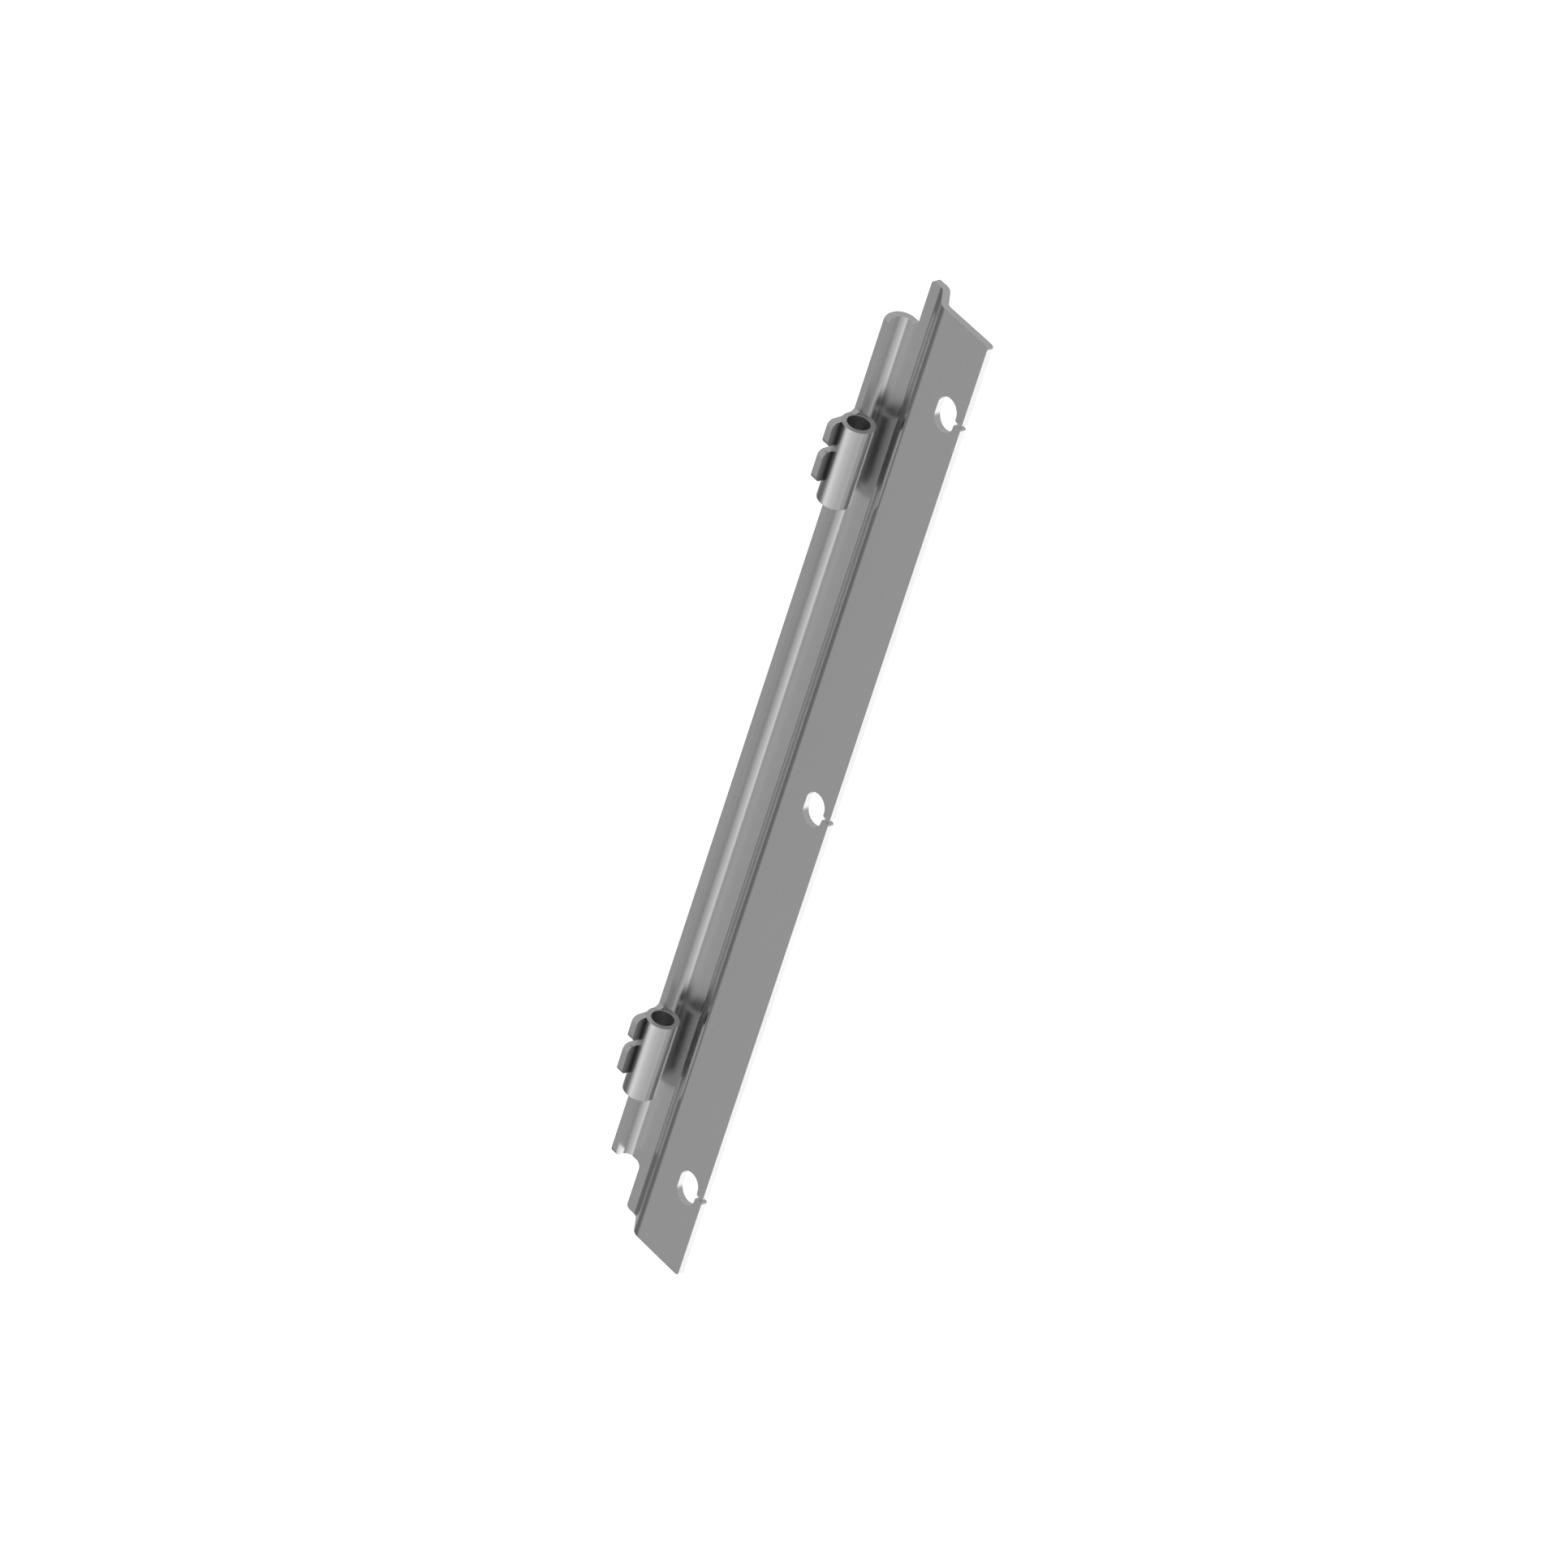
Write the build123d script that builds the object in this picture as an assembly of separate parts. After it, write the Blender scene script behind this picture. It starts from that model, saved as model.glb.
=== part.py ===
from build123d import *
import os

# One half of a sheet-metal hinge: a plain leaf stepped back by a joggle, a J-shaped gutter
# along its hinge side, and two short tube knuckles welded to the gutter's lip.
# The pin axis is the Z axis. Z = 0 is the lower knuckle's lower end. The leaf's plain
# face looks along -Y and its screwed-down back looks along +Y.

# sheet
SHEET_T = 2.0
BEND_INNER_R = 2.0
LEAF_LENGTH = 300.0
KNUCKLE_FOOT = 39.5

# section of the bent sheet, on its outer faces
LEAF_EDGE_X = 30.0
LEAF_BACK_Y = 3.37
JOGGLE_DEPTH = 5.25
JOGGLE_BACK_X = 12.66
LIP_OUTER_X = -4.5
LIP_FRONT_Y = 2.08

# plan of the sheet's ends
STRIP_EDGE_X = 2.64
NOTCH_LENGTH = 14.5
LEAF_CORNER_R = 1.0
STRIP_CORNER_R = 1.1
NOTCH_CORNER_R = 1.7
LIP_CORNER_R = 1.6

# screw slots, each open to the leaf's free edge through a narrow slit
SLOT_X = 24.0
SLOT_WIDTH = 6.8
SLOT_LENGTH = 9.8
SLOT_PITCH = 125.0
SLOT_COUNT = 3
SLIT_WIDTH = 0.85
SLIT_MOUTH_R = 0.6

# knuckles
TUBE_R = 4.5
BORE_R = 3.05
TUBE_LENGTH = 24.0
TUBE_PITCH = 192.0
WELD_R = 1.25
WELD_BORE_GAP = 0.2

# tabs on each knuckle, listed downwards from the tube's upper end
TAB_OUTER_X = -3.88
TAB_FRONT_Y = -6.9
TAB_CORNER_R = 1.6
TAB_GAP = 2.0
SHORT_TAB_LENGTH = 7.2
LONG_TAB_LENGTH = 9.0

# reach of a cutting body past the work
CLEAR = 20.0

LEAF_Z0 = -KNUCKLE_FOOT
LEAF_Z1 = LEAF_Z0 + LEAF_LENGTH
LEAF_MID_Z = (LEAF_Z0 + LEAF_Z1) / 2
LIP_INNER_X = LIP_OUTER_X + SHEET_T
TUBE_Z = {"lower": 0.0, "upper": TUBE_PITCH}
TAB_Z = {
    "short": (TUBE_LENGTH - SHORT_TAB_LENGTH, TUBE_LENGTH),
    "long": (
        TUBE_LENGTH - SHORT_TAB_LENGTH - TAB_GAP - LONG_TAB_LENGTH,
        TUBE_LENGTH - SHORT_TAB_LENGTH - TAB_GAP,
    ),
}


def box_between(low, high):
    """Box from its lowest corner to its highest corner."""
    size = [b - a for a, b in zip(low, high)]
    middle = [(a + b) / 2 for a, b in zip(low, high)]
    return Pos(*middle) * Box(*size)


def rod(radius, z0, z1):
    """Round bar on the pin axis between two heights."""
    return Pos(0, 0, (z0 + z1) / 2) * Cylinder(radius, z1 - z0)


def sheet_section():
    """Section of the bent sheet, traced along its middle line from free edge to lip."""
    half = SHEET_T / 2
    leaf_y = LEAF_BACK_Y - half
    strip_y = leaf_y + JOGGLE_DEPTH
    # the sloping middle line runs at 45 degrees, half a sheet in front of the back face
    slope_sum = JOGGLE_BACK_X + LEAF_BACK_Y - half * 2 ** 0.5
    middle = FilletPolyline(
        (LEAF_EDGE_X, leaf_y),
        (slope_sum - leaf_y, leaf_y),
        (slope_sum - strip_y, strip_y),
        (LIP_OUTER_X + half, strip_y),
        (LIP_OUTER_X + half, LIP_FRONT_Y),
        radius=BEND_INNER_R + half,
    )
    return trace(middle, SHEET_T)


def round_corners(sketch, x, z_values, radius):
    """Round the sketch corners that lie at one X and at any of several heights."""
    corners = []
    for z in z_values:
        spot = Vector(x, 0, z)
        corners.append(sketch.vertices().sort_by_distance(spot)[0])
    return fillet(corners, radius)


def slot_heights():
    """Heights of the slot centres, evenly spaced about the leaf's middle."""
    first = LEAF_MID_Z - SLOT_PITCH * (SLOT_COUNT - 1) / 2
    return [first + SLOT_PITCH * i for i in range(SLOT_COUNT)]


def leaf_plan():
    """Plan of the leaf seen from the front: notched ends and open screw slots."""
    notch_z = [LEAF_Z0 + NOTCH_LENGTH, LEAF_Z1 - NOTCH_LENGTH]
    end_z = [LEAF_Z0, LEAF_Z1]
    outline = Polyline(
        (LEAF_EDGE_X, LEAF_Z0),
        (LEAF_EDGE_X, LEAF_Z1),
        (STRIP_EDGE_X, LEAF_Z1),
        (STRIP_EDGE_X, notch_z[1]),
        (LIP_OUTER_X - CLEAR, notch_z[1]),
        (LIP_OUTER_X - CLEAR, notch_z[0]),
        (STRIP_EDGE_X, notch_z[0]),
        (STRIP_EDGE_X, LEAF_Z0),
        close=True,
    )
    plan = Plane.XZ * make_face(outline)
    plan = round_corners(plan, LEAF_EDGE_X, end_z, LEAF_CORNER_R)
    plan = round_corners(plan, STRIP_EDGE_X, end_z, STRIP_CORNER_R)
    plan = round_corners(plan, STRIP_EDGE_X, notch_z, NOTCH_CORNER_R)
    slit_length = LEAF_EDGE_X + CLEAR - SLOT_X
    mouth_z = []
    for z in slot_heights():
        slot = Pos(SLOT_X, z) * SlotOverall(SLOT_LENGTH, SLOT_WIDTH, rotation=90)
        slit = Pos(SLOT_X + slit_length / 2, z) * Rectangle(slit_length, SLIT_WIDTH)
        plan -= Plane.XZ * (slot + slit)
        mouth_z += [z - SLIT_WIDTH / 2, z + SLIT_WIDTH / 2]
    plan = round_corners(plan, LEAF_EDGE_X, mouth_z, SLIT_MOUTH_R)
    return round_corners(plan, SLOT_X + SLOT_WIDTH / 2, mouth_z, SLIT_MOUTH_R)


def weld_blend(tube_z):
    """Hollow fillet between the lip's front edge and the tube's upper end."""
    top = tube_z + TUBE_LENGTH
    block = box_between(
        (LIP_OUTER_X, LIP_FRONT_Y - WELD_R, top),
        (LIP_INNER_X, LIP_FRONT_Y, top + WELD_R),
    )
    hollow = Cylinder(WELD_R, SHEET_T * 2, rotation=(0, 90, 0))
    centre = Pos((LIP_OUTER_X + LIP_INNER_X) / 2, LIP_FRONT_Y - WELD_R, top + WELD_R)
    bore_path = rod(BORE_R + WELD_BORE_GAP, top - CLEAR, top + CLEAR)
    return block - centre * hollow - bore_path


def leaf_plate():
    """The bent sheet, with its ends notched, its slots cut and its lip seated on the tubes."""
    sheet = Pos(0, 0, LEAF_Z0) * extrude(sheet_section(), LEAF_LENGTH)
    plate = sheet & extrude(leaf_plan(), CLEAR, both=True)
    lip_ends = plate.edges().filter_by(Axis.X)
    lip_ends = lip_ends.filter_by_position(Axis.X, LIP_OUTER_X, LIP_INNER_X)
    plate = fillet(lip_ends, LIP_CORNER_R)
    for tube_z in TUBE_Z.values():
        plate += weld_blend(tube_z)
        plate -= rod(TUBE_R, tube_z, tube_z + TUBE_LENGTH)
    return plate


def knuckle_tube(tube_z):
    """Short tube with the pin bore right through it."""
    outside = rod(TUBE_R, tube_z, tube_z + TUBE_LENGTH)
    return outside - rod(BORE_R, tube_z, tube_z + TUBE_LENGTH)


def tab(tube_z, z_range):
    """Flat tab standing forward of a tube, its rear end coped to the tube."""
    z0 = tube_z + z_range[0]
    z1 = tube_z + z_range[1]
    plate = box_between((TAB_OUTER_X, TAB_FRONT_Y, z0), (TAB_OUTER_X + SHEET_T, 0, z1))
    front = plate.edges().filter_by(Axis.X).group_by(Axis.Y)[0]
    plate = fillet(front, TAB_CORNER_R)
    return plate - rod(TUBE_R, z0 - CLEAR, z1 + CLEAR)


def nodes():
    """Every node by name, in the shared frame."""
    made = {"leaf_plate": leaf_plate()}
    for place, tube_z in TUBE_Z.items():
        made[f"knuckle_tube_{place}"] = knuckle_tube(tube_z)
        for kind, z_range in TAB_Z.items():
            made[f"{place}_{kind}_tab"] = tab(tube_z, z_range)
    return made


os.makedirs("parts", exist_ok=True)
for name, solid in nodes().items():
    export_step(solid, f"parts/{name}.step")
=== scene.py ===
"""A sheet-steel hinge half with two tube knuckles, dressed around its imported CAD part."""

import logging
import math
from collections.abc import Callable, Iterable
from dataclasses import dataclass, field
from enum import Enum
from functools import cache

import bmesh
import bpy
from mathutils import Matrix, Vector


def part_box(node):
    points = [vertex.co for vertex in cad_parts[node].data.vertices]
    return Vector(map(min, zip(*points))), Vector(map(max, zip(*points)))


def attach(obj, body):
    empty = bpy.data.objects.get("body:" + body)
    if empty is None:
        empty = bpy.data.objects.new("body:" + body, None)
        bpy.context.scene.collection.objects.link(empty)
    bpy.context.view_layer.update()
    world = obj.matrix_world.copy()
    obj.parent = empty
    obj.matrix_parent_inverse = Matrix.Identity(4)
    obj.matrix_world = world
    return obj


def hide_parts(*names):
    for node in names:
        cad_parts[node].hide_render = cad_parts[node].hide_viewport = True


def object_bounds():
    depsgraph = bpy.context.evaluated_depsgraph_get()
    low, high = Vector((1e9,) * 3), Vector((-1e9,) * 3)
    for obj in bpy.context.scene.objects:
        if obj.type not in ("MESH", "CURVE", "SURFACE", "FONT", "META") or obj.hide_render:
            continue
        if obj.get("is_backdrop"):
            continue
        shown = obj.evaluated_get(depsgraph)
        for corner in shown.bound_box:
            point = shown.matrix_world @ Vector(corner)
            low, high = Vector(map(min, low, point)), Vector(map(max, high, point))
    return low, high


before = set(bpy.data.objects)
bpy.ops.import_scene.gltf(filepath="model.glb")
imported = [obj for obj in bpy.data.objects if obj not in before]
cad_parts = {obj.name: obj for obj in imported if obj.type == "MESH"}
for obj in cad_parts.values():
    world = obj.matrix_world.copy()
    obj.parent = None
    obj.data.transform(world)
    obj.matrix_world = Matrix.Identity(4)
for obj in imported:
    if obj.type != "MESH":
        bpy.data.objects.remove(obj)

LOG = logging.getLogger("hinge")
MM = 0.001
BODY = "root"

# Straight steps in each rounded corner of a plate, each rounded edge of a tube and each
# broken edge.
ARC_STEPS = 16
TUBE_EDGE_STEPS = 3
BREAK_STEPS = 2
# Points this close are one point: along a plate's seam, and where two cuts meet. In mm.
SEAM_MM = 0.001
CUT_MM = 0.002
# Faces that meet under the first angle are one flat face. Edges over the second are sharp.
FLAT_DEGREES = 0.5
SHARP_DEGREES = 35
SHADING_WEIGHT = 90
# The joggle's slope, and how close two directions are when they count as one.
SLOPE_DEGREES = 45
SAME_WAY_DEGREES = 1
# How far a face's normal must lie along an axis, from a leaning face to a square one.
LEANING = 0.4
HALFWAY = 0.5
MOSTLY = 0.6
SQUARE = 0.9

# A Mix node's colour inputs and its colour output.
MIX_A, MIX_B, MIX_OUT = 6, 7, 2
# Two noises added keep to about this part of 0 to 2, which is stretched to 0 to 1.
NOISE_LOW, NOISE_HIGH = 0.6, 1.4

Tree = bpy.types.NodeTree
Socket = bpy.types.NodeSocket
Piece = bpy.types.Object
Material = bpy.types.Material


class Solver(Enum):
    """How one solid is combined with another."""

    CUT = "DIFFERENCE"
    KEEP_COMMON = "INTERSECT"
    JOIN = "UNION"


class Grain(Enum):
    """The way a steel surface was worked, as the stretch of its grain along X, Y and Z."""

    ALONG_SHEET = (1.0, 1.0, 0.012)
    ACROSS_EDGE = (0.9, 0.15, 0.9)
    AROUND_END = (1.0, 1.0, 1.0)


class Place(Enum):
    """Which of the two knuckles a piece belongs to."""

    LOWER = "lower"
    UPPER = "upper"


class TabKind(Enum):
    """The two tabs on each knuckle, by their length along the pin."""

    SHORT = "short"
    LONG = "long"


@dataclass(frozen=True)
class Corner:
    """One corner of a flat outline, in mm, with the radius that rounds it."""

    u: float
    v: float
    radius: float = 0.0


def linear(hex_colour: str) -> tuple[float, float, float, float]:
    """Turns an sRGB hex colour into linear light.

    Args:
        hex_colour: six hex digits, such as "c4c6c8".

    Returns:
        Red, green, blue and an alpha of 1.
    """
    channels = [int(hex_colour[i : i + 2], 16) / 255 for i in (0, 2, 4)]
    light = [c / 12.92 if c <= 0.04045 else ((c + 0.055) / 1.055) ** 2.4 for c in channels]
    return (light[0], light[1], light[2], 1.0)


def add_node(
    tree: Tree, kind: str, links: dict[str | int, object] | None = None, **settings: object
) -> bpy.types.Node:
    """Adds one node with its settings and its input links.

    Args:
        tree: the node tree that gets the node.
        kind: the node's type name.
        links: input name or number to the output socket, or the plain value, that feeds it.
        **settings: properties of the node itself.

    Returns:
        The new node.
    """
    node = tree.nodes.new(kind)
    for name, value in settings.items():
        setattr(node, name, value)
    for socket, source in (links or {}).items():
        target = node.inputs[socket]
        if isinstance(source, Socket):
            tree.links.new(source, target)
        else:
            target.default_value = source
    return node


# ---------------------------------------------------------------- finishes


@dataclass(frozen=True)
class BareSteel:
    """Bare low-carbon steel, cleaned and oiled but not plated: neutral grey, satin.

    The grain left by rolling, drawing or cutting shows as fine streaks that change the
    gloss a little, over slow cloudy patches from handling.

    Attributes:
        name: the material's name.
        light_hex: the colour of the brightest streaks.
        dark_hex: the colour of the dullest streaks.
        roughness: the middle roughness.
        grain: the way the surface was worked.
        grain_mm: the width of a streak.
        gloss_change: how far the roughness moves either way.
        relief_mm: the height of a streak.
        patch_mm: the width of a handling patch.
    """

    name: str
    light_hex: str
    dark_hex: str
    roughness: float
    grain: Grain
    grain_mm: float
    gloss_change: float
    relief_mm: float
    patch_mm: float = 28.0

    def pattern(self, tree: Tree, place: Socket) -> tuple[Socket, Socket]:
        """Draws the grain and the handling patches.

        Args:
            tree: the material's node tree.
            place: the object coordinates.

        Returns:
            The grain's height, and the mix of grain and patches from dull to bright.
        """
        stretch = tuple(s / (self.grain_mm * MM) for s in self.grain.value)
        streaks = add_node(tree, "ShaderNodeMapping", {"Vector": place, "Scale": stretch})
        grain = add_node(
            tree,
            "ShaderNodeTexNoise",
            {"Vector": streaks.outputs[0], "Scale": 1.0, "Detail": 3.0, "Roughness": 0.55},
        )
        patches = add_node(
            tree,
            "ShaderNodeTexNoise",
            {"Vector": place, "Scale": 1 / (self.patch_mm * MM), "Detail": 2.0},
        )
        both = add_node(
            tree,
            "ShaderNodeMath",
            {0: grain.outputs["Fac"], 1: patches.outputs["Fac"]},
            operation="ADD",
        )
        shade = add_node(
            tree,
            "ShaderNodeMapRange",
            {"Value": both.outputs[0], "From Min": NOISE_LOW, "From Max": NOISE_HIGH},
        )
        return grain.outputs["Fac"], shade.outputs[0]

    def material(self) -> Material:
        """Builds the procedural material.

        Returns:
            The finished material.
        """
        made = bpy.data.materials.new(self.name)
        made.use_nodes = True
        tree = made.node_tree
        tree.nodes.clear()
        place = add_node(tree, "ShaderNodeTexCoord").outputs["Object"]
        grain, shade = self.pattern(tree, place)
        colour = add_node(
            tree,
            "ShaderNodeMix",
            {"Factor": shade, MIX_A: linear(self.dark_hex), MIX_B: linear(self.light_hex)},
            data_type="RGBA",
        )
        gloss = add_node(
            tree,
            "ShaderNodeMapRange",
            {
                "Value": shade,
                "To Min": self.roughness + self.gloss_change,
                "To Max": self.roughness - self.gloss_change,
            },
        )
        relief = add_node(
            tree,
            "ShaderNodeBump",
            {"Height": grain, "Strength": 1.0, "Distance": self.relief_mm * MM},
        )
        surface = add_node(
            tree,
            "ShaderNodeBsdfPrincipled",
            {
                "Base Color": self.painted_shade(tree, place, colour.outputs[MIX_OUT]),
                "Metallic": 1.0,
                "Roughness": gloss.outputs[0],
                "Normal": relief.outputs[0],
            },
        )
        add_node(tree, "ShaderNodeOutputMaterial", {"Surface": surface.outputs[0]})
        return made

    def painted_shade(self, tree: Tree, place: Socket, colour: Socket) -> Socket:
        """Lays any painted shade over the steel: plain steel has none.

        Args:
            tree: the material's node tree.
            place: the object coordinates.
            colour: the steel's own colour.

        Returns:
            The colour with its painted shade.
        """
        return colour


@dataclass(frozen=True)
class PaintedShadeSteel(BareSteel):
    """Bare steel with painted shade: a dark tint, densest by the pin axis and thinning away from
    it, that stands in for the shade the tube casts on the tab.

    Attributes:
        dense_shade_hex: what the painted shade leaves of the steel's colour where it is dense.
        thin_shade_hex: what the painted shade leaves where it is thin.
        dense_mm: the distance from the pin axis where the painted shade starts to thin.
        clear_mm: the distance where it is thinnest.
    """

    dense_shade_hex: str = "545454"
    thin_shade_hex: str = "c6c6c6"
    dense_mm: float = 4.9
    clear_mm: float = 7.3

    def painted_shade(self, tree: Tree, place: Socket, colour: Socket) -> Socket:
        """Paints shade on the steel by its distance from the pin axis, darkest nearest the tube.

        Args:
            tree: the material's node tree.
            place: the object coordinates.
            colour: the steel's own colour.

        Returns:
            The colour with its painted shade.
        """
        part = add_node(tree, "ShaderNodeSeparateXYZ", {0: place})
        across = add_node(
            tree, "ShaderNodeCombineXYZ", {"X": part.outputs["X"], "Y": part.outputs["Y"]}
        )
        reach = add_node(tree, "ShaderNodeVectorMath", {0: across.outputs[0]}, operation="LENGTH")
        clean = add_node(
            tree,
            "ShaderNodeMapRange",
            {
                "Value": reach.outputs["Value"],
                "From Min": self.dense_mm * MM,
                "From Max": self.clear_mm * MM,
            },
        )
        # Painted shade: dark by the pin axis, lighter towards the tab's free edge.
        painted_shade = add_node(
            tree,
            "ShaderNodeMix",
            {
                "Factor": clean.outputs[0],
                MIX_A: linear(self.dense_shade_hex),
                MIX_B: linear(self.thin_shade_hex),
            },
            data_type="RGBA",
        )
        return add_node(
            tree,
            "ShaderNodeMix",
            {"Factor": 1.0, MIX_A: colour, MIX_B: painted_shade.outputs[MIX_OUT]},
            data_type="RGBA",
            blend_type="MULTIPLY",
        ).outputs[MIX_OUT]


# Rolled sheet keeps long fine streaks from the rolls. They are drawn 0.5 mm wide, several
# times coarser than the real ones, so that they show at all.
ROLLED_SHEET = BareSteel(
    name="cold_rolled_sheet_steel",
    light_hex="d5d5d5",
    dark_hex="d1d1d1",
    roughness=0.28,
    grain=Grain.ALONG_SHEET,
    grain_mm=0.5,
    gloss_change=0.02,
    relief_mm=0.0003,
)
# The press tool burnishes the joggle's tight bends, so they shine more than the flats.
BURNISHED_BEND = BareSteel(
    name="burnished_sheet_steel",
    light_hex="d6d6d6",
    dark_hex="d2d2d2",
    roughness=0.16,
    grain=Grain.ALONG_SHEET,
    grain_mm=0.5,
    gloss_change=0.01,
    relief_mm=0.0001,
)
# A blanked edge has fine marks through the thickness and is brighter than the sheet's skin.
BLANKED_EDGE = BareSteel(
    name="blanked_edge_steel",
    light_hex="d8d8d8",
    dark_hex="cfcfcf",
    roughness=0.28,
    grain=Grain.ACROSS_EDGE,
    grain_mm=0.35,
    gloss_change=0.03,
    relief_mm=0.001,
)
# Drawn tube has draw lines along its length and a slightly closer skin than sheet.
DRAWN_TUBE = BareSteel(
    name="drawn_tube_steel",
    light_hex="d5d5d5",
    dark_hex="d1d1d1",
    roughness=0.22,
    grain=Grain.ALONG_SHEET,
    grain_mm=0.4,
    gloss_change=0.02,
    relief_mm=0.0006,
)
# The tab's face on the tube's open side gets painted shade, standing in for the shade between tab
# and tube: dense at the tube and thin by the tab's free edge.
TAB_FLANK_SHADE = PaintedShadeSteel(
    name="weld_sooted_sheet_steel",
    light_hex="d5d5d5",
    dark_hex="d1d1d1",
    roughness=0.35,
    grain=Grain.ALONG_SHEET,
    grain_mm=0.5,
    gloss_change=0.02,
    relief_mm=0.0006,
)
# A sawn and brushed tube end is evenly matt.
SAWN_END = BareSteel(
    name="sawn_end_steel",
    light_hex="d4d4d4",
    dark_hex="cacaca",
    roughness=0.45,
    grain=Grain.AROUND_END,
    grain_mm=0.3,
    gloss_change=0.03,
    relief_mm=0.001,
)
# The bore is as drawn, dull with the film of oil and soot that stays inside a tube.
DRAWN_BORE = BareSteel(
    name="drawn_bore_steel",
    light_hex="dadada",
    dark_hex="d2d2d2",
    roughness=0.38,
    grain=Grain.ALONG_SHEET,
    grain_mm=0.4,
    gloss_change=0.03,
    relief_mm=0.001,
)


# ---------------------------------------------------------------- geometry trees


def new_tree(name: str, inputs: Iterable[tuple[str, str]]) -> tuple[Tree, dict[str, Socket]]:
    """Starts a geometry tree with a geometry input and output.

    Args:
        name: the tree's name.
        inputs: name and socket type of each further input.

    Returns:
        The tree, and its input sockets by name.
    """
    tree = bpy.data.node_groups.new(name, "GeometryNodeTree")
    tree.interface.new_socket("Geometry", in_out="INPUT", socket_type="NodeSocketGeometry")
    for label, kind in inputs:
        tree.interface.new_socket(label, in_out="INPUT", socket_type=kind)
    tree.interface.new_socket("Geometry", in_out="OUTPUT", socket_type="NodeSocketGeometry")
    given = add_node(tree, "NodeGroupInput")
    return tree, {s.name: s for s in given.outputs if s.name}


def end_tree(tree: Tree, result: Socket, finish: Socket) -> None:
    """Ends a tree: instances become real, faces are smooth and the finish is set.

    Args:
        tree: the tree to end.
        result: the geometry made so far.
        finish: the material input.
    """
    real = add_node(tree, "GeometryNodeRealizeInstances", {"Geometry": result})
    smooth = add_node(tree, "GeometryNodeSetShadeSmooth", {"Geometry": real.outputs[0]})
    dressed = add_node(
        tree, "GeometryNodeSetMaterial", {"Geometry": smooth.outputs[0], "Material": finish}
    )
    add_node(tree, "NodeGroupOutput", {"Geometry": dressed.outputs[0]})


@cache
def plate_tree() -> Tree:
    """A solid plate from a closed outline whose corners are rounded by their own radii.

    Returns:
        The tree, with inputs Depth, Arc Steps and Finish.
    """
    tree, given = new_tree(
        "rounded_plate",
        [
            ("Depth", "NodeSocketFloat"),
            ("Arc Steps", "NodeSocketInt"),
            ("Finish", "NodeSocketMaterial"),
        ],
    )
    curve = add_node(tree, "GeometryNodeMeshToCurve", {"Mesh": given["Geometry"]})
    radius = add_node(
        tree, "GeometryNodeInputNamedAttribute", {"Name": "corner"}, data_type="FLOAT"
    )
    rounded = add_node(
        tree,
        "GeometryNodeFilletCurve",
        {
            "Curve": curve.outputs[0],
            "Count": given["Arc Steps"],
            "Radius": radius.outputs[0],
            "Limit Radius": True,
        },
        mode="POLY",
    )
    face = add_node(tree, "GeometryNodeFillCurve", {"Curve": rounded.outputs[0]}, mode="NGONS")
    rise = add_node(tree, "ShaderNodeCombineXYZ", {"Z": given["Depth"]})
    raised = add_node(
        tree,
        "GeometryNodeExtrudeMesh",
        {"Mesh": face.outputs[0], "Offset": rise.outputs[0], "Individual": False},
        mode="FACES",
    )
    under = add_node(tree, "GeometryNodeFlipFaces", {"Mesh": face.outputs[0]})
    both = add_node(tree, "GeometryNodeJoinGeometry")
    tree.links.new(raised.outputs[0], both.inputs[0])
    tree.links.new(under.outputs[0], both.inputs[0])
    closed = add_node(
        tree, "GeometryNodeMergeByDistance", {"Geometry": both.outputs[0], "Distance": SEAM_MM}
    )
    end_tree(tree, closed.outputs[0], given["Finish"])
    return tree


@cache
def row_tree() -> Tree:
    """A straight row of copies along Y, evenly spaced from the first.

    Returns:
        The tree, with inputs Count, Pitch and Finish.
    """
    tree, given = new_tree(
        "even_row",
        [
            ("Count", "NodeSocketInt"),
            ("Pitch", "NodeSocketFloat"),
            ("Finish", "NodeSocketMaterial"),
        ],
    )
    step = add_node(tree, "ShaderNodeCombineXYZ", {"Y": given["Pitch"]})
    line = add_node(
        tree, "GeometryNodeMeshLine", {"Count": given["Count"], "Offset": step.outputs[0]}
    )
    copies = add_node(
        tree,
        "GeometryNodeInstanceOnPoints",
        {"Points": line.outputs[0], "Instance": given["Geometry"]},
    )
    end_tree(tree, copies.outputs[0], given["Finish"])
    return tree


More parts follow.
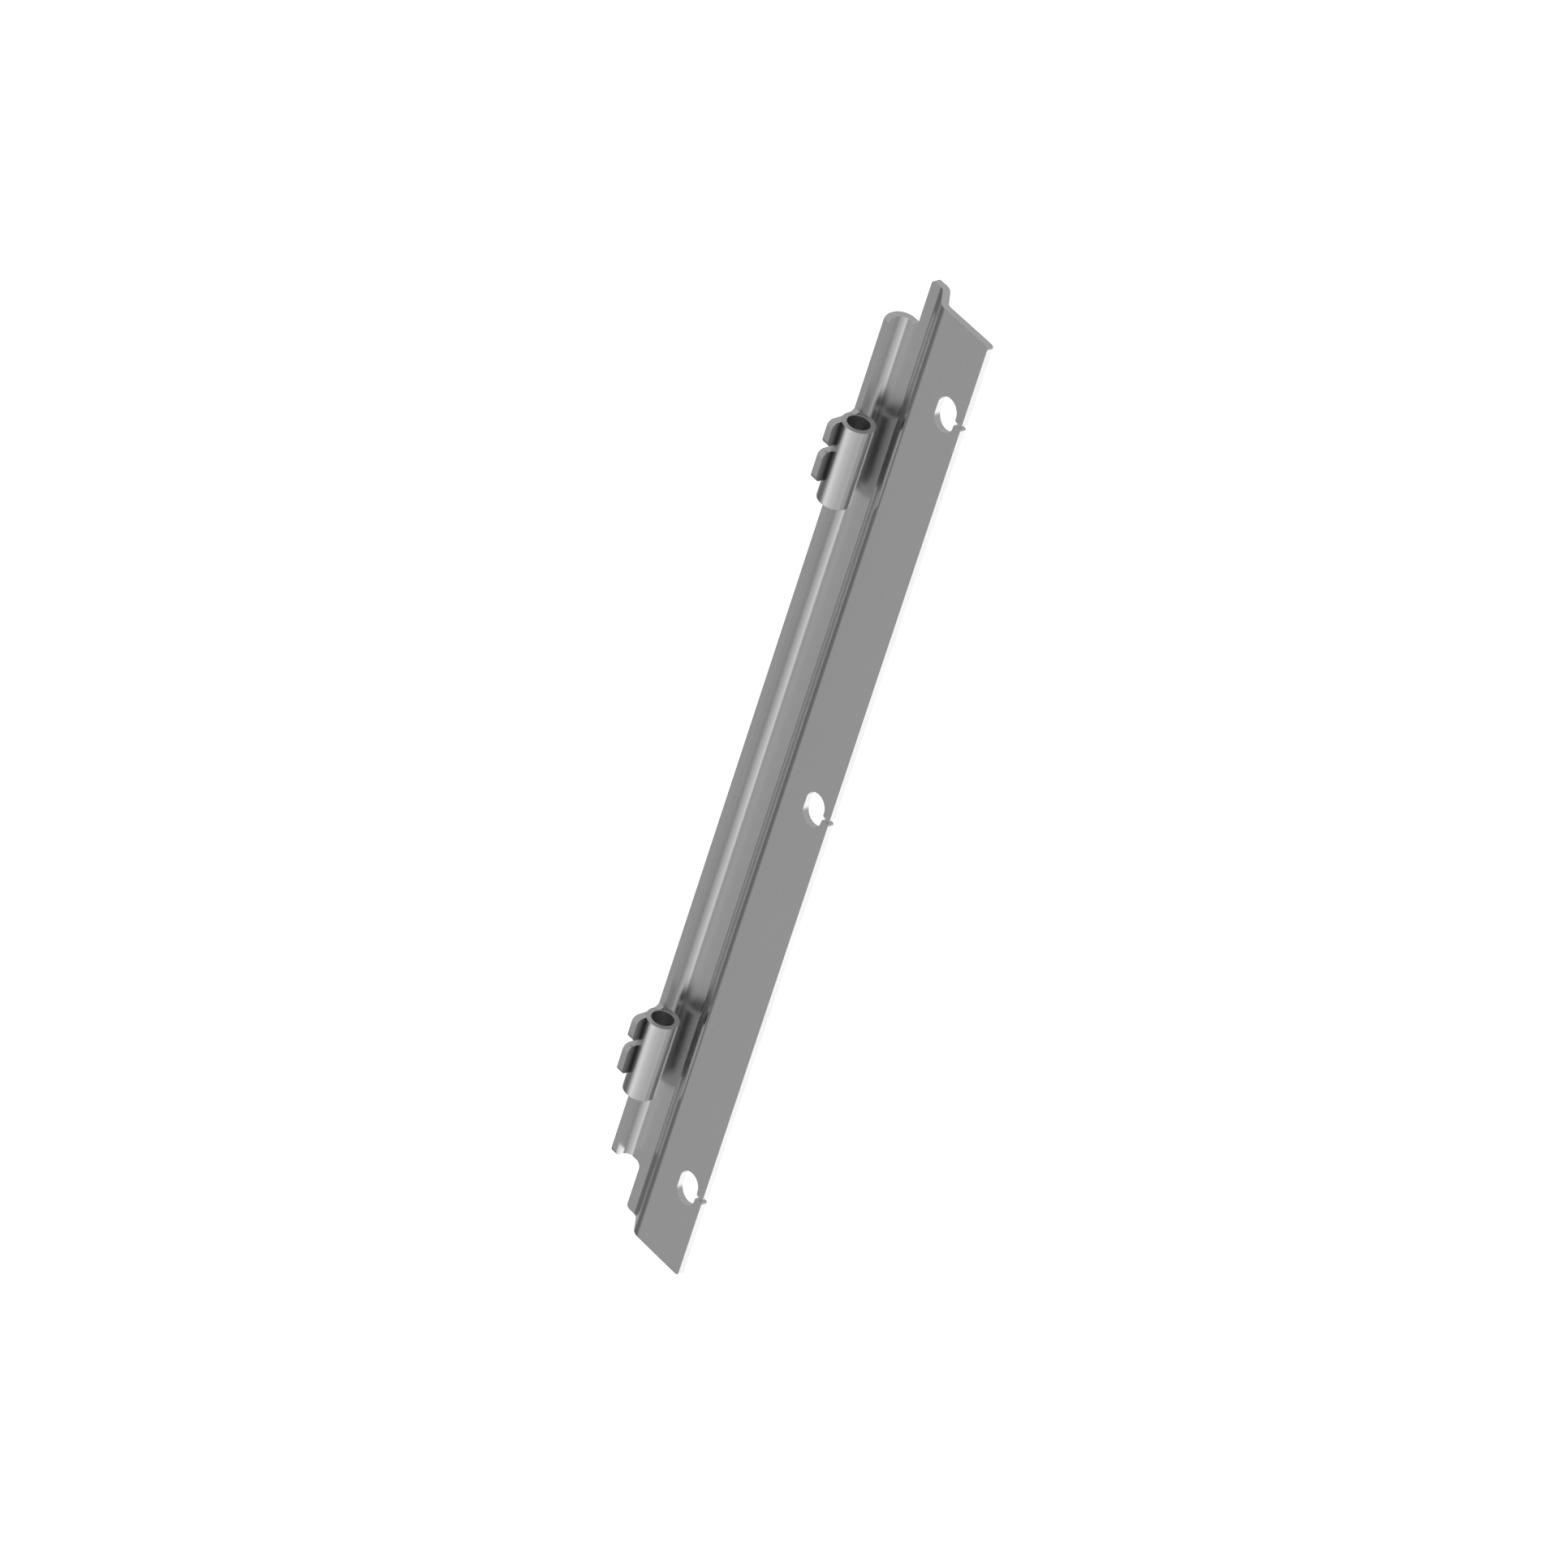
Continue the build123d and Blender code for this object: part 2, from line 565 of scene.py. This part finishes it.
@cache
def tube_tree() -> Tree:
    """A straight tube standing on the origin, with its four edges rounded.

    Returns:
        The tree, with inputs Outer Radius, Bore Radius, Length, Edge Radius, Sides and Finish.
    """
    tree, given = new_tree(
        "drawn_tube",
        [
            ("Outer Radius", "NodeSocketFloat"),
            ("Bore Radius", "NodeSocketFloat"),
            ("Length", "NodeSocketFloat"),
            ("Edge Radius", "NodeSocketFloat"),
            ("Sides", "NodeSocketInt"),
            ("Finish", "NodeSocketMaterial"),
        ],
    )
    outer, bore = given["Outer Radius"], given["Bore Radius"]
    total = add_node(tree, "ShaderNodeMath", {0: outer, 1: bore}, operation="ADD")
    middle = add_node(tree, "ShaderNodeMath", {0: total.outputs[0], 1: 2.0}, operation="DIVIDE")
    wall = add_node(tree, "ShaderNodeMath", {0: outer, 1: bore}, operation="SUBTRACT")
    ring = add_node(
        tree,
        "GeometryNodeCurvePrimitiveCircle",
        {"Resolution": given["Sides"], "Radius": middle.outputs[0]},
        mode="RADIUS",
    )
    section = add_node(
        tree,
        "GeometryNodeCurvePrimitiveQuadrilateral",
        {"Width": wall.outputs[0], "Height": given["Length"]},
        mode="RECTANGLE",
    )
    eased = add_node(
        tree,
        "GeometryNodeFilletCurve",
        {
            "Curve": section.outputs[0],
            "Count": TUBE_EDGE_STEPS,
            "Radius": given["Edge Radius"],
        },
        mode="POLY",
    )
    swept = add_node(
        tree,
        "GeometryNodeCurveToMesh",
        {"Curve": ring.outputs[0], "Profile Curve": eased.outputs[0]},
    )
    half = add_node(tree, "ShaderNodeMath", {0: given["Length"], 1: 2.0}, operation="DIVIDE")
    lift = add_node(tree, "ShaderNodeCombineXYZ", {"Z": half.outputs[0]})
    placed = add_node(
        tree,
        "GeometryNodeTransform",
        {"Geometry": swept.outputs[0], "Translation": lift.outputs[0]},
    )
    end_tree(tree, placed.outputs[0], given["Finish"])
    return tree


# ---------------------------------------------------------------- solids


def run_tree(piece: Piece, tree: Tree, **values: object) -> Piece:
    """Runs a geometry tree on an object and keeps the result as its plain mesh.

    Args:
        piece: the object whose mesh the tree starts from.
        tree: the geometry tree.
        **values: the tree's inputs by name, with underscores for spaces.

    Returns:
        The same object.
    """
    modifier = piece.modifiers.new(tree.name, "NODES")
    modifier.node_group = tree
    for item in tree.interface.items_tree:
        key = item.name.replace(" ", "_")
        if item.in_out == "INPUT" and key in values:
            modifier[item.identifier] = values[key]
    return bake_modifiers(piece)


def bake_modifiers(piece: Piece) -> Piece:
    """Turns an object's modifiers into plain mesh and removes them.

    Args:
        piece: the object to bake.

    Returns:
        The same object.
    """
    shown = piece.evaluated_get(bpy.context.evaluated_depsgraph_get())
    mesh = bpy.data.meshes.new_from_object(shown)
    old = piece.data
    piece.modifiers.clear()
    piece.data = mesh
    bpy.data.meshes.remove(old)
    return piece


def new_piece(name: str, shown: bpy.types.ID | None = None) -> Piece:
    """Makes an object at the origin and links it to the scene.

    Args:
        name: the object's name.
        shown: the mesh or camera that it holds, or nothing for an empty mesh.

    Returns:
        The new object.
    """
    piece = bpy.data.objects.new(name, shown or bpy.data.meshes.new(name))
    bpy.context.scene.collection.objects.link(piece)
    return piece


def plate(name: str, corners: list[Corner], depth: float, finish: Material) -> Piece:
    """Makes a solid plate on the XY plane, in mm, rising along +Z.

    Args:
        name: the new object's name.
        corners: the outline, in order.
        depth: the plate's thickness.
        finish: the material of all its faces.

    Returns:
        The plate.
    """
    mesh = bpy.data.meshes.new(name)
    count = len(corners)
    loop = [(i, (i + 1) % count) for i in range(count)]
    mesh.from_pydata([(c.u, c.v, 0.0) for c in corners], loop, [])
    radii = mesh.attributes.new("corner", "FLOAT", "POINT")
    radii.data.foreach_set("value", [c.radius for c in corners])
    flat = new_piece(name, mesh)
    return run_tree(flat, plate_tree(), Depth=depth, Arc_Steps=ARC_STEPS, Finish=finish)


def combine(piece: Piece, other: Piece, how: Solver) -> Piece:
    """Combines one solid with another, and removes the other.

    Args:
        piece: the solid that is kept.
        other: the solid that is used up.
        how: the operation.

    Returns:
        The kept solid.
    """
    modifier = piece.modifiers.new(how.name, "BOOLEAN")
    modifier.operation = how.value
    modifier.solver = "EXACT"
    modifier.object = other
    bake_modifiers(piece)
    bpy.data.objects.remove(other)
    return piece


def move(piece: Piece, matrix: Matrix) -> Piece:
    """Moves an object's mesh, and leaves the object itself at the origin."""
    piece.data.transform(matrix)
    return piece


def stand_sideways(piece: Piece, x: float) -> Piece:
    """Turns a plate drawn in Y and Z so that it rises along +X from one X."""
    sideways = Matrix(((0, 0, 1, 0), (1, 0, 0, 0), (0, 1, 0, 0), (0, 0, 0, 1)))
    return move(piece, Matrix.Translation((x, 0, 0)) @ sideways)


def add_even_shading(piece: Piece) -> None:
    """Weighs the shading by face size, so that a broad face stays even up to its edges.

    Args:
        piece: the object that gets the modifier.
    """
    even = piece.modifiers.new("even_shading", "WEIGHTED_NORMAL")
    even.weight = SHADING_WEIGHT
    even.keep_sharp = False


def ease_edges(piece: Piece, width: float) -> Piece:
    """Breaks the sharp edges and gives broad faces even shading.

    Args:
        piece: the solid, in mm.
        width: width of the broken edge.

    Returns:
        The same object.
    """
    tidy = bmesh.new()
    tidy.from_mesh(piece.data)
    bmesh.ops.remove_doubles(tidy, verts=tidy.verts, dist=CUT_MM)
    bmesh.ops.dissolve_limit(
        tidy, angle_limit=math.radians(FLAT_DEGREES), verts=tidy.verts, edges=tidy.edges
    )
    tidy.to_mesh(piece.data)
    tidy.free()
    bevel = piece.modifiers.new("broken_edges", "BEVEL")
    bevel.width = width
    bevel.segments = BREAK_STEPS
    bevel.limit_method = "ANGLE"
    bevel.angle_limit = math.radians(SHARP_DEGREES)
    add_even_shading(piece)
    return bake_modifiers(piece)


def to_metres(piece: Piece) -> Piece:
    """Scales a finished mesh from millimetres to metres."""
    return move(piece, Matrix.Scale(MM, 4))


def dress_faces(
    piece: Piece, finish: Material, rule: Callable[[Vector, Vector], bool]
) -> None:
    """Gives a second finish to the faces that a rule picks.

    Args:
        piece: the object.
        finish: the second finish.
        rule: takes a face's centre and normal, and says whether it gets the finish.
    """
    piece.data.materials.append(finish)
    last = len(piece.data.materials) - 1
    for face in piece.data.polygons:
        if rule(face.center, face.normal):
            face.material_index = last


def box_mm(node: str) -> tuple[Vector, Vector]:
    """A CAD node's lowest and highest corners, in mm."""
    low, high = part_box(node)
    return low / MM, high / MM


def hand_over(piece: Piece, node: str) -> None:
    """Declares a finished piece: what it rides on, which node it stands for.

    Args:
        piece: the finished piece, in metres.
        node: the CAD node that it replaces.
    """
    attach(piece, BODY)
    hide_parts(node)
    LOG.info("%s stands for %s with %d faces", piece.name, node, len(piece.data.polygons))


# ---------------------------------------------------------------- sub-assemblies


@dataclass
class Finishes:
    """The hinge's materials, made once and shared by its pieces."""

    sheet: Material
    edge: Material
    tube: Material
    end: Material
    bore: Material
    # The tab flank's finish carries painted shade.
    flank: Material
    bend: Material

    @classmethod
    def make(cls) -> "Finishes":
        """Builds all the materials.

        Returns:
            The materials, each by the surface that wears it.
        """
        return cls(
            sheet=ROLLED_SHEET.material(),
            edge=BLANKED_EDGE.material(),
            tube=DRAWN_TUBE.material(),
            end=SAWN_END.material(),
            bore=DRAWN_BORE.material(),
            flank=TAB_FLANK_SHADE.material(),
            bend=BURNISHED_BEND.material(),
        )


@dataclass
class Leaf:
    """The bent sheet: flat slotted leaf, joggle, strip and J-shaped gutter. Sizes are in mm."""

    finishes: Finishes
    thickness: float = 2.0
    bend_inner: float = 2.0
    flat_back_y: float = 3.37
    joggle_back_x: float = 12.66
    lip_front_y: float = 2.08
    strip_edge_x: float = 2.64
    notch: float = 14.5
    leaf_corner: float = 1.0
    strip_corner: float = 1.1
    notch_corner: float = 1.7
    lip_corner: float = 1.6
    slot_inset: float = 6.0
    slot_width: float = 6.8
    slot_length: float = 9.8
    slot_pitch: float = 125.0
    slot_count: int = 3
    slit_width: float = 0.85
    slit_mouth: float = 0.6
    weld: float = 1.25
    weld_bore_gap: float = 0.2
    edge_break: float = 0.12
    clear: float = 20.0
    low: Vector = field(init=False)
    high: Vector = field(init=False)

    def __post_init__(self) -> None:
        """Reads the leaf's outer box from the imported CAD part."""
        self.low, self.high = box_mm("leaf_plate")

    def section(self) -> Piece:
        """The whole sheet as one bent bar, before anything is cut from it.

        Returns:
            The bar, standing on the leaf's lower end.
        """
        t, inner, outer = self.thickness, self.bend_inner, self.bend_inner + self.thickness
        free_x, lip_x = self.high.x, self.low.x
        back, strip_back = self.flat_back_y, self.high.y
        slope_back = self.joggle_back_x + back
        slope_front = slope_back - t * math.sqrt(2)
        front, strip_front = back - t, strip_back - t
        corners = [
            Corner(free_x, front),
            Corner(free_x, back),
            Corner(slope_back - back, back, inner),
            Corner(slope_back - strip_back, strip_back, outer),
            Corner(lip_x, strip_back, outer),
            Corner(lip_x, self.lip_front_y),
            Corner(lip_x + t, self.lip_front_y),
            Corner(lip_x + t, strip_front, inner),
            Corner(slope_front - strip_front, strip_front, inner),
            Corner(slope_front - front, front, outer),
        ]
        bar = plate("hinge_leaf", corners, self.high.z - self.low.z, self.finishes.sheet)
        return move(bar, Matrix.Translation((0, 0, self.low.z)))

    def facing(self, outline: Piece) -> Piece:
        """Turns a plate drawn in X and Z so that it runs through the leaf along Y."""
        upright = Matrix.Rotation(math.radians(90), 4, "X")
        return move(outline, Matrix.Translation((0, self.clear, 0)) @ upright)

    def plan(self) -> Piece:
        """The outline seen from the front, with its notched ends.

        Returns:
            The body that the bent bar is kept to.
        """
        low, high, far = self.low.z, self.high.z, self.low.x - self.clear
        edge, free = self.strip_edge_x, self.high.x
        corners = [
            Corner(free, low, self.leaf_corner),
            Corner(free, high, self.leaf_corner),
            Corner(edge, high, self.strip_corner),
            Corner(edge, high - self.notch, self.notch_corner),
            Corner(far, high - self.notch),
            Corner(far, low + self.notch),
            Corner(edge, low + self.notch, self.notch_corner),
            Corner(edge, low, self.strip_corner),
        ]
        return self.facing(plate("leaf_plan", corners, 2 * self.clear, self.finishes.edge))

    def slots(self) -> Piece:
        """The row of screw slots, each with its slit to the free edge.

        Returns:
            The cutting bodies, as one object.
        """
        x, free = self.high.x - self.slot_inset, self.high.x
        wide, tall, slit = self.slot_width / 2, self.slot_length / 2, self.slit_width / 2
        mouth, first = self.slit_mouth, (self.low.z + self.high.z) / 2
        first -= self.slot_pitch * (self.slot_count - 1) / 2
        side = [
            Corner(x + wide, tall, wide),
            Corner(x - wide, tall, wide),
            Corner(x - wide, -tall, wide),
            Corner(x + wide, -tall, wide),
            Corner(x + wide, -slit, mouth),
            Corner(free, -slit, mouth),
            Corner(free, -slit - self.clear),
            Corner(free + self.clear, -slit - self.clear),
            Corner(free + self.clear, slit + self.clear),
            Corner(free, slit + self.clear),
            Corner(free, slit, mouth),
            Corner(x + wide, slit, mouth),
        ]
        edge = self.finishes.edge
        cutter = plate("screw_slot", side, 2 * self.clear, edge)
        run_tree(cutter, row_tree(), Count=self.slot_count, Pitch=self.slot_pitch, Finish=edge)
        move(cutter, Matrix.Translation((0, first, 0)))
        return self.facing(cutter)

    def lip_ends(self) -> Piece:
        """What lies beyond the lip's ends and their rounded front corners.

        Returns:
            The cutting body, as one C around the lip.
        """
        low, high = self.low.z + self.notch, self.high.z - self.notch
        front, deep = self.lip_front_y, self.high.y + self.clear
        reach = self.clear
        corners = [
            Corner(front, low, self.lip_corner),
            Corner(deep, low),
            Corner(deep, low - reach),
            Corner(front - reach, low - reach),
            Corner(front - reach, high + reach),
            Corner(deep, high + reach),
            Corner(deep, high),
            Corner(front, high, self.lip_corner),
        ]
        outside = plate("lip_ends", corners, self.thickness * 2, self.finishes.edge)
        return stand_sideways(outside, self.low.x - self.thickness / 2)

    def weld_end(self, tube: "Tube") -> Piece:
        """The hollow fillet between the lip's front edge and a tube's upper end.

        Args:
            tube: the tube that the lip is welded to.

        Returns:
            The fillet as a solid, clear of the bore.
        """
        top, weld = tube.z0 + tube.length, self.weld
        foot = self.lip_front_y - weld
        deep = self.lip_front_y + self.thickness / 2
        body = [
            Corner(foot, top),
            Corner(deep, top),
            Corner(deep, top + weld),
            Corner(foot, top + weld),
        ]
        hollow = [
            Corner(foot - weld, top, weld),
            Corner(foot + weld, top, weld),
            Corner(foot + weld, top + 2 * weld, weld),
            Corner(foot - weld, top + 2 * weld, weld),
        ]
        edge, width = self.finishes.edge, self.thickness
        fillet = stand_sideways(plate("weld_end", body, width, edge), self.low.x)
        groove = plate("weld_hollow", hollow, 2 * width, edge)
        stand_sideways(groove, self.low.x - width / 2)
        combine(fillet, groove, Solver.CUT)
        path = tube.solid_bar(tube.bore_r + self.weld_bore_gap, self.clear)
        return combine(fillet, path, Solver.CUT)

    def build(self, tubes: list["Tube"]) -> None:
        """Makes the leaf, seats it on the tubes and hands it over.

        Args:
            tubes: the knuckle tubes that the lip is welded to.
        """
        leaf = self.section()
        combine(leaf, self.plan(), Solver.KEEP_COMMON)
        combine(leaf, self.slots(), Solver.CUT)
        combine(leaf, self.lip_ends(), Solver.CUT)
        for tube in tubes:
            combine(leaf, self.weld_end(tube), Solver.JOIN)
            combine(leaf, tube.solid_bar(tube.radius), Solver.CUT)
        ease_edges(leaf, self.edge_break)
        dress_faces(leaf, self.finishes.bend, self.is_bend)
        dress_faces(leaf, self.finishes.edge, self.is_cut_face)
        hand_over(to_metres(leaf), "leaf_plate")

    def is_bend(self, centre: Vector, normal: Vector) -> bool:
        """Tells the joggle's bends from the flats and the joggle's slope.

        Args:
            centre: the face's centre.
            normal: the face's normal.

        Returns:
            True on the joggle where the face leans between the flats and the slope.
        """
        lean = math.degrees(math.atan2(abs(normal.x), abs(normal.y)))
        flat = min(lean, abs(lean - SLOPE_DEGREES), 90 - lean) < SAME_WAY_DEGREES
        curved = abs(normal.z) < LEANING and not flat
        return curved and self.strip_edge_x < centre.x < self.joggle_back_x + self.bend_inner

    def is_cut_face(self, centre: Vector, normal: Vector) -> bool:
        """Tells a blanked edge from the sheet's own skin.

        Args:
            centre: the face's centre.
            normal: the face's normal.

        Returns:
            True on the ends, the notches, the free edge, the slot walls and the lip's edge.
        """
        across = abs(normal.z) > LEANING
        slot_or_free_edge = centre.x > self.joggle_back_x and abs(normal.x) > MOSTLY
        lip_edge = centre.x < 0 and centre.y < self.lip_front_y + self.edge_break
        strip_edge = normal.x < -MOSTLY and 0 < centre.x < self.strip_edge_x + self.edge_break
        return across or slot_or_free_edge or lip_edge or strip_edge


@dataclass
class Tube:
    """One knuckle: a short drawn tube with its bore open at both ends. Sizes are in mm."""

    place: Place
    finishes: Finishes
    bore_r: float = 3.05
    edge_break: float = 0.1
    sides: int = 128
    node: str = field(init=False)
    z0: float = field(init=False)
    length: float = field(init=False)
    radius: float = field(init=False)

    def __post_init__(self) -> None:
        """Reads the tube's size and place from the imported CAD part."""
        self.node = f"knuckle_tube_{self.place.value}"
        low, high = box_mm(self.node)
        self.z0, self.length, self.radius = low.z, high.z - low.z, high.x

    def sweep(self) -> Piece:
        """Sweeps the wall's section round the pin axis.

        Returns:
            The tube in its place, with rounded edges.
        """
        made = run_tree(
            new_piece(f"{self.place.value}_knuckle_tube"),
            tube_tree(),
            Outer_Radius=self.radius,
            Bore_Radius=self.bore_r,
            Length=self.length,
            Edge_Radius=self.edge_break,
            Sides=self.sides,
            Finish=self.finishes.tube,
        )
        return move(made, Matrix.Translation((0, 0, self.z0)))

    def solid_bar(self, radius: float, extra: float = 0.0) -> Piece:
        """A plain round bar on the tube's axis, for cutting.

        Args:
            radius: the bar's radius.
            extra: how far it runs past each end of the tube.

        Returns:
            The bar.
        """
        mesh = bpy.data.meshes.new("round_bar")
        bar = bmesh.new()
        place = Matrix.Translation((0, 0, self.z0 + self.length / 2))
        bmesh.ops.create_cone(
            bar,
            cap_ends=True,
            segments=self.sides,
            radius1=radius,
            radius2=radius,
            depth=self.length + 2 * extra,
            matrix=place,
        )
        bar.to_mesh(mesh)
        bar.free()
        return new_piece("round_bar", mesh)

    def build(self) -> None:
        """Makes the tube and hands it over."""
        tube = self.sweep()
        add_even_shading(tube)
        bake_modifiers(tube)
        middle = (self.radius + self.bore_r) / 2
        dress_faces(
            tube, self.finishes.bore, lambda c, n: c.xy.length < middle and abs(n.z) < HALFWAY
        )
        dress_faces(tube, self.finishes.end, lambda c, n: abs(n.z) > SQUARE)
        hand_over(to_metres(tube), self.node)


@dataclass
class Tab:
    """One flat tab standing forward of a knuckle tube. Sizes are in mm."""

    tube: Tube
    kind: TabKind
    finishes: Finishes
    corner: float = 1.6
    edge_break: float = 0.12

    def build(self) -> None:
        """Makes the tab, copes it to its tube and hands it over."""
        place, kind = self.tube.place.value, self.kind.value
        node = f"{place}_{kind}_tab"
        low, high = box_mm(node)
        corners = [
            Corner(low.y, low.z, self.corner),
            Corner(0.0, low.z),
            Corner(0.0, high.z),
            Corner(low.y, high.z, self.corner),
        ]
        name, deep = f"{place}_{kind}_knuckle_tab", high.x - low.x
        tab = plate(name, corners, deep, self.finishes.sheet)
        stand_sideways(tab, low.x)
        combine(tab, self.tube.solid_bar(self.tube.radius), Solver.CUT)
        ease_edges(tab, self.edge_break)
        dress_faces(tab, self.finishes.edge, lambda c, n: abs(n.x) < HALFWAY)
        # The tab's face towards the tube wears the painted shade.
        dress_faces(tab, self.finishes.flank, lambda c, n: n.x > SQUARE)
        hand_over(to_metres(tab), node)


# ---------------------------------------------------------------- studio


@dataclass(frozen=True)
class Studio:
    """A plain pale floor under soft light that is brighter on one side.

    Attributes:
        floor_drop: how far the floor lies below the hinge, in metres.
        floor_side: the floor's width, in metres.
        floor_hex: the floor's colour.
        floor_roughness: the floor's roughness.
        floor_glow: how much light the floor gives by itself, so that it stays pale.
        around: direction in degrees round from +X, and the light's brightness there.
        overhead: the brightness from above and from level with the hinge.
        side_z: the height of direction below which the light is all from around.
        level_z: the height of direction above which it is all overhead light.
        brightest: the brightness that a ramp stop of 1 stands for.
        bounces: reflections followed between the tubes and the gutter.
    """

    floor_drop: float = 0.6
    floor_side: float = 12.0
    floor_hex: str = "f4f4f4"
    floor_roughness: float = 0.9
    floor_glow: float = 0.9
    around: tuple[tuple[int, float], ...] = (
        (-180, 0.21),
        (-165, 0.18),
        (-147, 0.20),
        (-129, 0.38),
        (-112, 0.87),
        (-98, 1.00),
        (-84, 0.88),
        (-68, 0.76),
        (-45, 0.68),
        (-20, 0.60),
        (8, 0.68),
        (28, 1.0),
        (51, 1.55),
        (80, 1.25),
        (110, 0.74),
        (136, 0.60),
        (155, 0.44),
        (169, 0.26),
        (180, 0.21),
    )
    overhead: float = 0.51
    side_z: float = -0.5
    level_z: float = -0.05
    brightest: float = 2.0
    bounces: int = 10

    def floor(self) -> None:
        """Lays the floor below the hinge, out of its reflections."""
        low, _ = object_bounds()
        mesh = bpy.data.meshes.new("floor")
        sheet = bmesh.new()
        bmesh.ops.create_grid(sheet, x_segments=1, y_segments=1, size=self.floor_side / 2)
        bmesh.ops.translate(sheet, verts=sheet.verts, vec=(0, 0, low.z - self.floor_drop))
        sheet.to_mesh(mesh)
        sheet.free()
        paper = bpy.data.materials.new("white_paper_floor")
        paper.use_nodes = True
        surface = paper.node_tree.nodes["Principled BSDF"]
        surface.inputs["Base Color"].default_value = linear(self.floor_hex)
        surface.inputs["Roughness"].default_value = self.floor_roughness
        surface.inputs["Emission Color"].default_value = linear(self.floor_hex)
        surface.inputs["Emission Strength"].default_value = self.floor_glow
        mesh.materials.append(paper)
        floor = new_piece("floor", mesh)
        floor.visible_glossy = False
        floor.visible_diffuse = False
        floor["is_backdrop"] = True

    def light(self) -> None:
        """Surrounds the hinge with soft light, bright beyond the free edge and dim opposite."""
        world = bpy.data.worlds.new("soft_studio")
        bpy.context.scene.world = world
        world.use_nodes = True
        tree = world.node_tree
        tree.nodes.clear()
        way = add_node(tree, "ShaderNodeTexCoord").outputs["Generated"]
        part = add_node(tree, "ShaderNodeSeparateXYZ", {0: way})
        turn = add_node(
            tree,
            "ShaderNodeMath",
            {0: part.outputs["Y"], 1: part.outputs["X"]},
            operation="ARCTAN2",
        )
        share = add_node(
            tree,
            "ShaderNodeMapRange",
            {"Value": turn.outputs[0], "From Min": -math.pi, "From Max": math.pi},
        )
        around = add_node(tree, "ShaderNodeValToRGB", {"Fac": share.outputs[0]})
        around.color_ramp.interpolation = "CARDINAL"
        ramp = around.color_ramp.elements
        while len(ramp) > 1:
            ramp.remove(ramp[0])
        for index, (degrees, value) in enumerate(self.around):
            share_round = (degrees + 180) / 360
            stop = ramp[0] if index == 0 else ramp.new(share_round)
            stop.position = share_round
            stop.color = (*[value / self.brightest] * 3, 1.0)
        height = add_node(
            tree,
            "ShaderNodeMapRange",
            {"Value": part.outputs["Z"], "From Min": self.side_z, "From Max": self.level_z},
            interpolation_type="SMOOTHSTEP",
        )
        above = self.overhead / self.brightest
        sky = add_node(
            tree,
            "ShaderNodeMix",
            {
                "Factor": height.outputs[0],
                MIX_A: around.outputs[0],
                MIX_B: (above, above, above, 1.0),
            },
            data_type="RGBA",
        )
        lit = add_node(
            tree,
            "ShaderNodeBackground",
            {"Color": sky.outputs[MIX_OUT], "Strength": self.brightest},
        )
        white = add_node(tree, "ShaderNodeBackground", {"Color": (1, 1, 1, 1), "Strength": 1.0})
        seen = add_node(tree, "ShaderNodeLightPath").outputs["Is Camera Ray"]
        mixed = add_node(
            tree, "ShaderNodeMixShader", {0: seen, 1: lit.outputs[0], 2: white.outputs[0]}
        )
        add_node(tree, "ShaderNodeOutputWorld", {"Surface": mixed.outputs[0]})
        bpy.context.scene.cycles.glossy_bounces = self.bounces


@dataclass(frozen=True)
class ViewCamera:
    """A long lens looking down on the hinge from its open side. Lengths are in metres."""

    place: tuple[float, float, float] = (1.7307, -2.1454, 2.0536)
    azimuth: float = 38.6747
    elevation: float = 35.2536
    roll: float = 18.34
    lens_mm: float = 308.2
    sensor_mm: float = 36.0
    near: float = 0.1
    far: float = 100.0

    def build(self) -> None:
        """Makes the camera and gives it to the scene."""
        data = bpy.data.cameras.new("camera")
        data.lens, data.sensor_width = self.lens_mm, self.sensor_mm
        data.clip_start, data.clip_end = self.near, self.far
        camera = new_piece("camera", data)
        turn = Matrix.Rotation(math.radians(self.azimuth), 4, "Z")
        tilt = Matrix.Rotation(math.radians(90 - self.elevation), 4, "X")
        roll = Matrix.Rotation(math.radians(self.roll), 4, "Z")
        camera.matrix_world = Matrix.Translation(self.place) @ turn @ tilt @ roll
        bpy.context.scene.camera = camera
        bpy.context.scene.view_settings.view_transform = "Standard"


def main() -> None:
    """Builds the studio and every piece of the hinge, in order."""
    logging.basicConfig(level=logging.INFO)
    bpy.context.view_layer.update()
    ViewCamera().build()
    studio = Studio()
    studio.floor()
    studio.light()
    finishes = Finishes.make()
    tubes = [Tube(place, finishes) for place in Place]
    for tube in tubes:
        tube.build()
        for kind in TabKind:
            Tab(tube, kind, finishes).build()
    Leaf(finishes).build(tubes)


if __name__ == "__main__":
    main()
